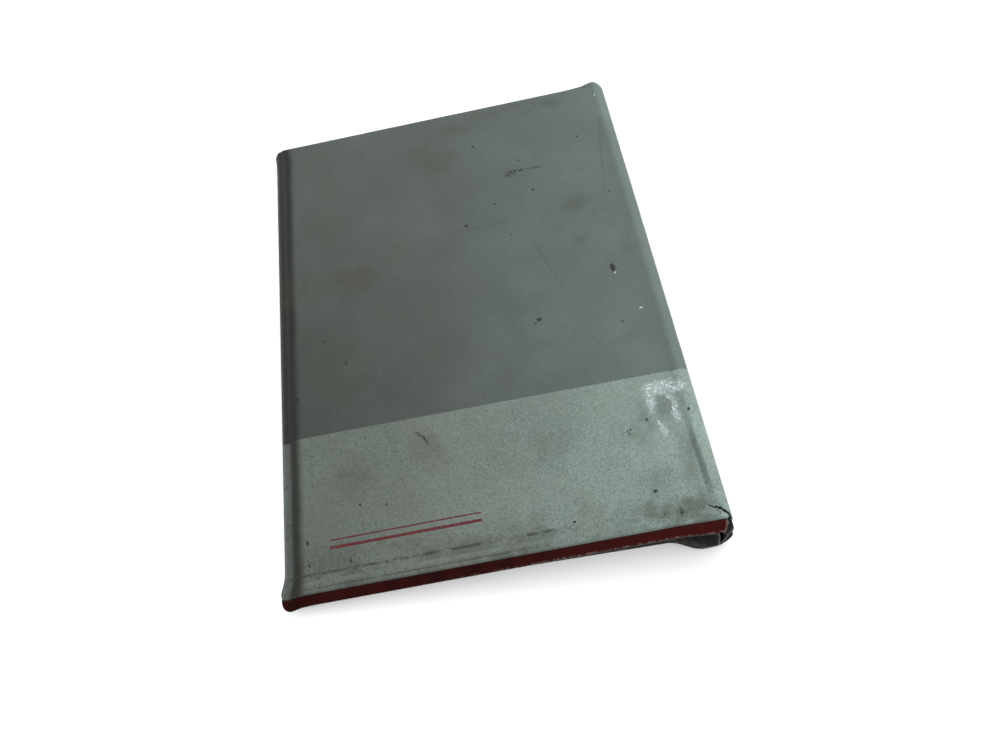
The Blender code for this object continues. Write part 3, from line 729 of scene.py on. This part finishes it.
def worn_marks(p, color, place, bent, seed):
    """Stains, scuffs, specks, scratches, a painted shade line in the hinge crease, and the printed
    rules of the front cover.
    """
    for index, (centre, radii, strength) in enumerate(STAINS):
        mask = p.patch(bent, centre, radii, 0.75)
        blotch = p.steps(p.noise(place, 9.0, 5.0, 0.6, seed + 20 + index), 0.24, 0.66)
        color = p.mix(p.multiply(mask, blotch, strength), color, STAIN)
    streaky = p.vector("MULTIPLY", place, (1.0, 3.0, 1.0))
    scraped = p.steps(p.noise(streaky, 1.6, 4.0, 0.7, 13.0), 0.44, 0.56)
    for centre, radii, strength in SCUFFS:
        mask = p.patch(place, centre, radii, 0.7)
        color = p.mix(p.multiply(mask, scraped, strength), color, BLACK)
    for centre, radii in SPECKS:
        mask = p.patch(bent_little(p, place), centre, radii, 0.5)
        color = p.mix(p.multiply(mask, 0.9), color, BLACK)
    for centre, radii in PALE_SPECKS:
        mask = p.patch(place, centre, radii, 0.6)
        color = p.mix(p.multiply(mask, 0.5), color, PALE_DUST)
    for start, end, half, strength in SCRATCHES_AND_CREASE_SHADE:
        mask = p.hair(bent_little(p, place), start, end, half)
        color = p.mix(p.multiply(mask, strength), color, BLACK)
    return printed_rules(p, color, place)


def printed_rules(p, color, place):
    """Two plain dark red rules over the tail strip, a little rubbed away."""
    s, y = p.split(place)
    along = p.multiply(p.steps(s, 18.8, 19.1), p.steps(s, 79.2, 78.9))
    worn = p.steps(p.noise(place, 0.7, 2.0, 0.6, 17.0), 0.74, 0.60)
    for centre, half in ((-96.6, 0.30), (-99.6, 0.60)):
        away = p.math("ABSOLUTE", p.math("SUBTRACT", y, centre))
        rule = p.multiply(along, p.steps(away, half + 0.1, half - 0.1), worn)
        color = p.mix(p.multiply(rule, 0.95), color, INK)
    return color


def bent_little(p, place):
    """The place, moved a little by noise, for marks with uneven edges."""
    found = p.tree.nodes.get("little shift")
    if found:
        return found.outputs[0]
    drift = p.node("ShaderNodeTexNoise", {"Vector": place, "Scale": 1 / 1.2, "Detail": 2.0})
    shift = p.vector("SUBTRACT", drift.outputs[1], (0.5, 0.5, 0.5))
    shift = p.vector("MULTIPLY", shift, (1.6, 1.6, 0.0))
    made = p.node("ShaderNodeVectorMath", {0: place, 1: shift}, operation="ADD")
    made.name = "little shift"
    return made.outputs[0]


def strip_vinyl(name, base, side):
    """Dark red vinyl, scuffed, with a pale raw edge at the tail and at the tear, and painted light
    that brightens it toward the spine.
    """
    p = Paint(name)
    place = p.sheet_mm()
    s, y = p.split(place)
    cloud = p.noise(place, 7.0, 4.0, 0.6, 4.0)
    dark = toned(base, 0.5)
    color = p.mix(p.steps(cloud, 0.35, 0.7), dark, base)
    # painted light: the strip is brightened toward the spine
    lit_red = toned(base, 1.7)
    color = p.mix(p.multiply(p.steps(s, 60.0, 165.0), 0.6), color, lit_red)
    speck = p.steps(p.noise(place, 0.9, 3.0, 0.7, 5.0), 0.60, 0.72)
    color = p.mix(p.multiply(speck, 0.7), color, (0.012, 0.008, 0.008))
    raw = p.steps(y, side.tail + 0.50, side.tail + 0.32)
    dashes = p.noise(p.vector("MULTIPLY", place, (1.0, 0.2, 1.0)), 1.7, 2.0, 0.6, 6.0)
    raw = p.multiply(raw, p.steps(dashes, 0.46, 0.58), p.steps(s, 40.0, 110.0))
    frayed = p.steps(s, 168.9, 169.6)
    pale = p.math("MAXIMUM", p.multiply(raw, 0.30), p.multiply(frayed, 0.35))
    color = p.mix(pale, color, (0.22, 0.17, 0.15))
    seam = p.steps(y, side.tail + STRIP - 0.55, side.tail + STRIP - 0.1)
    color = p.mix(p.multiply(seam, 0.6), color, (0.010, 0.008, 0.008))
    rough = p.math("ADD", p.multiply(cloud, 0.25), 0.55)
    normal = p.bump(p.noise(place, 0.7, 2.0, 0.5, 7.0), 0.07, 0.6)
    normal = p.bump(p.noise(place, 4.0, 3.0, 0.5, 8.0), 0.25, 0.4, normal)
    p.put(p.shader.inputs["Specular IOR Level"], 0.03)
    return p.finish(color, rough, normal)


def dark_vinyl(name, base, roughness, specular):
    """Plain dark vinyl with a fine grain, for linings and the black parts."""
    p = Paint(name)
    place = p.sheet_mm()
    cloud = p.noise(place, 11.0, 4.0, 0.6, 4.0)
    pale = toned(base, 1.35)
    color = p.mix(p.steps(cloud, 0.35, 0.7), base, pale)
    dust = p.steps(p.noise(place, 1.1, 4.0, 0.75, 5.0), 0.62, 0.76)
    color = p.mix(p.multiply(dust, 0.35), color, (0.10, 0.10, 0.09))
    rough = p.math("ADD", p.multiply(cloud, 0.2), roughness)
    grain = p.node("ShaderNodeTexVoronoi", {"Vector": place, "Scale": 1.6}).outputs[0]
    normal = p.bump(grain, 0.05, 0.5)
    normal = p.bump(p.noise(place, 5.0, 3.0, 0.5, 8.0), 0.3, 0.4, normal)
    p.put(p.shader.inputs["Specular IOR Level"], specular)
    return p.finish(color, rough, normal)


def nickel(name):
    p = Paint(name)
    place = p.object_mm()
    streak = p.vector("MULTIPLY", place, (4.0, 0.25, 4.0))
    brushed = p.noise(streak, 1.2, 4.0, 0.6, 1.0)
    cloud = p.noise(place, 6.0, 4.0, 0.6, 2.0)
    pit = p.steps(p.noise(place, 0.9, 3.0, 0.7, 3.0), 0.64, 0.74)
    color = p.mix(p.steps(cloud, 0.3, 0.7), (0.56, 0.55, 0.52), (0.70, 0.69, 0.66))
    color = p.mix(p.multiply(pit, 0.6), color, (0.16, 0.12, 0.08))
    rough = p.math("ADD", p.multiply(brushed, 0.18), p.multiply(pit, 0.35))
    rough = p.math("ADD", rough, 0.14)
    normal = p.bump(brushed, 0.02, 0.5)
    return p.finish(color, rough, normal, Metallic=1.0)


def fibre_board(name, base):
    p = Paint(name)
    place = p.object_mm()
    fibre = p.noise(p.vector("MULTIPLY", place, (1.0, 1.0, 5.0)), 0.8, 5.0, 0.7, 1.0)
    cloud = p.noise(place, 9.0, 4.0, 0.6, 2.0)
    dark = toned(base, 0.6)
    color = p.mix(fibre, dark, base)
    color = p.mix(p.multiply(cloud, 0.4), color, dark)
    return p.finish(color, 0.88, p.bump(fibre, 0.12, 0.7))


def foam(name, base):
    p = Paint(name)
    place = p.object_mm()
    cells = p.node("ShaderNodeTexVoronoi", {"Vector": place, "Scale": 2.2}).outputs[0]
    cloud = p.noise(place, 7.0, 3.0, 0.6, 2.0)
    dark = toned(base, 0.6)
    color = p.mix(p.steps(cells, 0.1, 0.6), dark, base)
    color = p.mix(p.multiply(cloud, 0.3), color, dark)
    return p.finish(color, 0.95, p.bump(cells, 0.2, 0.8))


def dress(piece, material):
    piece.data.materials.clear()
    piece.data.materials.append(material)
    return piece


# ---------------------------------------------------------------- sheets and pads
def mm(point):
    return tuple(value * MM for value in point)


def section_lines(side):
    end_of_turn = CREASE + side.turn_length
    fine = 0.15 if side.up > 0 else 0.4
    return lines(
        (0.0, 9.0, 0.4),
        (9.0, CREASE - 14.0, 1.3),
        (CREASE - 14.0, CREASE - 3.0, 0.6),
        (CREASE - 3.0, end_of_turn - 2.0, fine),
        (end_of_turn - 2.0, side.length, 0.5),
    )


def bend_with_spine(piece):
    """Bakes the piece's transform into its mesh; its shape runs over its cover, the crease and the
    spine.
    """
    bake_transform(piece)


def sheet_zones(side, strip_top, band_top):
    """The colours of one side's outer sheet from the tail up: name, slot and grid lines."""
    fine = 0.16 if side.up > 0 else 0.4
    return (
        ("tail_strip", "vinyl_red", lines((side.tail, strip_top, 0.2))),
        (
            "skin_band",
            "vinyl_light",
            lines(
                (strip_top, strip_top + 7.0, fine),
                (strip_top + 7.0, strip_top + 15.0, 0.5),
                (strip_top + 15.0, band_top, 1.2),
            ),
        ),
        (
            "skin_upper",
            "vinyl_dark",
            lines((band_top, side.head - 11.0, 1.3), (side.head - 11.0, side.head, 0.35)),
        ),
    )


def outer_sheets(side, paints):
    """One side's outer sheet in its three colours, over the cover, the crease and the spine."""
    s_lines = section_lines(side)
    strip_top, band_top = side.tail + STRIP, side.tail + STRIP + BAND
    for zone, slot, y_lines in sheet_zones(side, strip_top, band_top):
        piece = grid_mesh(
            side.name + "_vinyl_" + zone,
            s_lines,
            y_lines,
            lambda s, y: outer_surface(side, s, y),
            side,
            tear_mask if side.up > 0 else None,
        )
        thicken(piece, SHEET)
        dress(piece, paints[zone])
        bend_with_spine(piece)
        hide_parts(side.name + "_" + zone)
        if side.up > 0:
            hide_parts("spine_" + zone)


def crease_tape(side, paint):
    """Black reinforcement under the outer sheet round the crease, bare where that is torn."""

    def surface(s, y):
        tail, head = y - side.tail, side.head - y
        cap = np.sqrt(np.clip(1 - (1 - np.minimum(tail, head) / 1.2).clip(0, 1) ** 2, 0.0, 1.0))
        height = outer_height(side, s, y) - SHEET - 0.08
        x, z = side.place(s, LINING + 0.4 + (height - LINING - 0.4) * cap)
        out_x, out_y = pushed(side, s, y)
        return x + out_x, y + out_y, z

    s_lines = lines(
        (CREASE - 7.0, CREASE - 2.0, 0.6),
        (CREASE - 2.0, CREASE + side.turn_length, 0.4),
        (CREASE + side.turn_length, side.length, 0.6),
    )
    y_lines = lines(
        (side.tail + 0.2, side.tail + 7.0, 0.3),
        (side.tail + 7.0, side.head - 7.0, 2.0),
        (side.head - 7.0, side.head - 0.2, 0.3),
    )
    piece = grid_mesh(side.name + "_crease_tape", s_lines, y_lines, surface, side)
    thicken(piece, 0.3)
    dress(piece, paint)
    bend_with_spine(piece)
    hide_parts(side.name + "_hinge_strip")


def pad(side, paint):
    """The foam of one cover, filling the space between the board and the outer sheet."""
    s_lines = lines(
        (5.2, 12.0, 0.7), (12.0, CREASE - 12.0, 2.5), (CREASE - 12.0, CREASE - 5.4, 0.7)
    )
    y_lines = lines(
        (side.tail + 8.5, side.tail + 18.0, 1.0),
        (side.tail + 18.0, side.head - 10.0, 3.0),
        (side.head - 10.0, side.head - 5.2, 0.8),
    )
    s, y = np.meshgrid(s_lines, y_lines)
    floor = LINING + 2.3
    top = np.maximum(outer_height(side, s, y) - SHEET - 0.12, floor + 0.15)
    rows, columns = np.shape(s)
    shift_x, shift_y = pushed(side, s, y)
    layers = []
    for height in (top, np.full(np.shape(s), floor)):
        x, z = side.place(s, height)
        layers.append(np.stack([x + shift_x, y + shift_y, z], axis=-1).reshape(-1, 3) * MM)
    first = (np.arange(rows - 1)[:, None] * columns + np.arange(columns - 1)).ravel()
    quads = np.stack([first, first + 1, first + columns + 1, first + columns], axis=-1)
    under = quads[:, ::-1] + rows * columns
    index = np.arange(rows * columns).reshape(rows, columns)
    rim = np.concatenate([index[0], index[1:, -1], index[-1, -2::-1], index[-2:0:-1, 0]])
    beside = np.roll(rim, -1)
    wall = np.stack([rim, rim + rows * columns, beside + rows * columns, beside], axis=-1)
    faces = np.concatenate([quads, under, wall])
    if side.up < 0:
        faces = faces[:, ::-1]
    mesh = bpy.data.meshes.new(side.name + "_pad")
    mesh.from_pydata(np.concatenate(layers).tolist(), [], faces.tolist())
    mesh.shade_smooth()
    mesh.set_sharp_from_angle(angle=SHARP)
    piece = bpy.data.objects.new(side.name + "_pad", mesh)
    bpy.context.collection.objects.link(piece)
    dress(piece, paint)
    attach(piece, side.name + "_cover")
    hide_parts(side.name + "_padding")


def lining_surface(side, s, y):
    """The lining follows the panel, cuts the inner corner in a small curve and lines the spine."""
    seed = 21.0 if side.up > 0 else 25.0
    tail = y - side.tail
    height = LINING + 0.03 * ruffle(s, y, 12.0, seed)
    if side.up < 0:
        loose = smooth(CREASE - 22.0, CREASE - 9.0, s) * (1 - smooth(CREASE - 4.0, CREASE, s))
        loose = loose * bell(tail, 0.5, 5.5)
        folds = ruffle(s * 1.6, y * 0.7, 4.0, seed + 1) + 0.6 * ruffle(s, y, 2.0, seed + 2)
        height = height - loose * (1.7 + 0.9 * folds)
    before = np.clip(CREASE - s, 0.0, None)
    x = side.hinge[0] + before * side.to_fore[0] + height * math.cos(side.turn)
    z = side.hinge[1] + before * side.to_fore[1] + side.up * height * math.sin(side.turn)
    after = np.clip(s - CREASE, 0.0, None)
    x = np.where(s > CREASE, side.hinge[0] + height, x)
    z = np.where(s > CREASE, side.hinge[1] - side.up * after, z)
    cut = 0.9 * bell(s, CREASE, 2.5)
    out_x, out_y = pushed(side, s, y)
    return x - cut + out_x, y + out_y, z - side.up * cut


def lining(side, paint):
    s_end = CREASE + (UPPER_Z - LOWER_Z - 0.6 if side.up > 0 else 0.4)
    s_lines = lines(
        (0.0, 8.0, 0.8),
        (8.0, CREASE - 40.0, 2.5),
        (CREASE - 40.0, CREASE - 6.0, 0.8),
        (CREASE - 6.0, CREASE + 0.4, 0.4),
        (CREASE + 0.4, s_end, 0.8),
    )
    y_lines = lines(
        (side.tail, side.tail + 12.0, 0.6),
        (side.tail + 12.0, side.head - 6.0, 2.5),
        (side.head - 6.0, side.head, 0.8),
    )
    name = side.name + "_vinyl_lining"
    piece = grid_mesh(name, s_lines, y_lines, lambda s, y: lining_surface(side, s, y), side)
    thicken(piece, LINING)
    dress(piece, paint)
    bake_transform(piece)
    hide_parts(side.name + "_lining")
    if side.up > 0:
        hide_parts("spine_lining")


def pocket(paint):
    """A sheet welded to the front lining along three sides, slack at its mouth."""
    low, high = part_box("front_pocket")
    s0, s1 = 7.0, 125.0
    y0, y1 = low[1] / MM, high[1] / MM

    def surface(s, y):
        from_weld = np.minimum(np.minimum(s - s0, s1 - s), y - y0)
        slack = smooth(1.2, 8.0, from_weld) * (0.25 + 0.25 * smooth(y0, y1, y))
        x, z = FRONT.place(s, -0.06 - slack - 0.05 * ruffle(s, y, 14.0, 51.0) * slack)
        return x, y, z

    s_lines = lines((s0, s0 + 8.0, 0.8), (s0 + 8.0, s1 - 8.0, 2.5), (s1 - 8.0, s1, 0.8))
    y_lines = lines((y0, y0 + 8.0, 0.8), (y0 + 8.0, y1, 2.5))
    piece = grid_mesh("front_pocket_sheet", s_lines, y_lines, surface, FRONT)
    thicken(piece, 0.3)
    dress(piece, paint)
    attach(piece, "front_cover")
    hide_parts("front_pocket")


# ---------------------------------------------------------------- stage
FLOOR_HALF = 3.0  # m
WORLD_STRENGTH = 1.45
KEY_PLACE = (0.30, 0.48, 0.90)  # m
KEY_TARGET = (0.02, 0.0, 0.0)
KEY_SIZE = 0.70
KEY_POWER = 2.0
KEY_COLOR = (0.97, 1.0, 0.995)
SENSOR = 36.0  # mm
LENS = 27.36
CAMERA_PLACE = (-2.1, -187.15, 300.8)  # mm
CAMERA_TURN = (27.587, 2.128, -8.647)  # degrees


def area_light(name, place, target, size, power, color):
    data = bpy.data.lights.new(name, "AREA")
    data.shape = "DISK"
    data.size = size
    data.energy = power
    data.color = color
    lamp = bpy.data.objects.new(name, data)
    bpy.context.collection.objects.link(lamp)
    lamp.location = place
    lamp.rotation_euler = (Vector(target) - Vector(place)).to_track_quat("-Z", "Y").to_euler()


def stage():
    half = FLOOR_HALF
    corners = [(-half, -half, 0), (half, -half, 0), (half, half, 0), (-half, half, 0)]
    mesh = bpy.data.meshes.new("floor")
    mesh.from_pydata(corners, [], [(0, 1, 2, 3)])
    floor = bpy.data.objects.new("floor", mesh)
    bpy.context.collection.objects.link(floor)
    paint = Paint("floor_pale")
    dress(floor, paint.finish((0.94, 0.94, 0.94, 1.0), 0.9, Specular_IOR_Level=0.0))

    world = bpy.data.worlds.new("studio")
    world.use_nodes = True
    background = world.node_tree.nodes["Background"]
    background.inputs["Color"].default_value = (1.0, 1.0, 1.0, 1.0)
    background.inputs["Strength"].default_value = WORLD_STRENGTH
    bpy.context.scene.world = world
    area_light("key", KEY_PLACE, KEY_TARGET, KEY_SIZE, KEY_POWER, KEY_COLOR)
    bpy.context.scene.view_settings.view_transform = "Standard"


def camera():
    data = bpy.data.cameras.new("camera")
    data.sensor_width = SENSOR
    data.lens = LENS
    eye = bpy.data.objects.new("camera", data)
    bpy.context.collection.objects.link(eye)
    eye.location = mm(CAMERA_PLACE)
    eye.rotation_euler = tuple(math.radians(angle) for angle in CAMERA_TURN)
    bpy.context.scene.camera = eye


# ---------------------------------------------------------------- build
def dress_hidden_parts():
    """Finishes for the boards, the spine's padding and the ring mechanism."""
    metal = nickel("nickel_plate")
    greyboard = fibre_board("greyboard", (0.30, 0.28, 0.24))
    paints = {
        "front_board": greyboard,
        "back_board": greyboard,
        "spine_board": fibre_board("black_board", (0.014, 0.014, 0.015)),
        "spine_padding": foam("black_foam", (0.020, 0.020, 0.020)),
    }
    for name, node in frame["nodes"].items():
        if not node.hide_render:
            dress(node, paints.get(name, metal))


camera()
stage()
for cover in (FRONT, BACK):
    kind = cover.name
    # the back's tail strip gets the red darkened as painted shade
    red = RED if cover is FRONT else SHADED_RED
    outer_sheets(
        cover,
        {
            # the last four numbers of each vinyl are its painted light: brightness at the
            # fore-edge and at the spine, shade toward the tail, highlight on the roll
            "skin_upper": vinyl(
                "vinyl_dark_" + kind, DARK, 1.0, cover, 0.20, 0.99, (0.65, 1.03, 0.22, 0.44)
            ),
            "skin_band": vinyl(
                "vinyl_light_" + kind, LIGHT, 2.0, cover, 0.55, 0.30, (0.58, 1.24, 0.0, 0.26)
            ),
            "tail_strip": strip_vinyl("vinyl_red_" + kind, red, cover),
        },
    )
    crease_tape(cover, dark_vinyl("black_tape_" + kind, (0.006, 0.006, 0.006), 0.55, 0.08))
    pad(cover, foam("pad_foam_" + kind, (0.55, 0.52, 0.42)))
    lining(cover, dark_vinyl("lining_vinyl_" + kind, (0.022, 0.023, 0.021), 0.42, 0.35))
pocket(dark_vinyl("pocket_vinyl", (0.020, 0.021, 0.020), 0.35, 0.4))
dress_hidden_parts()
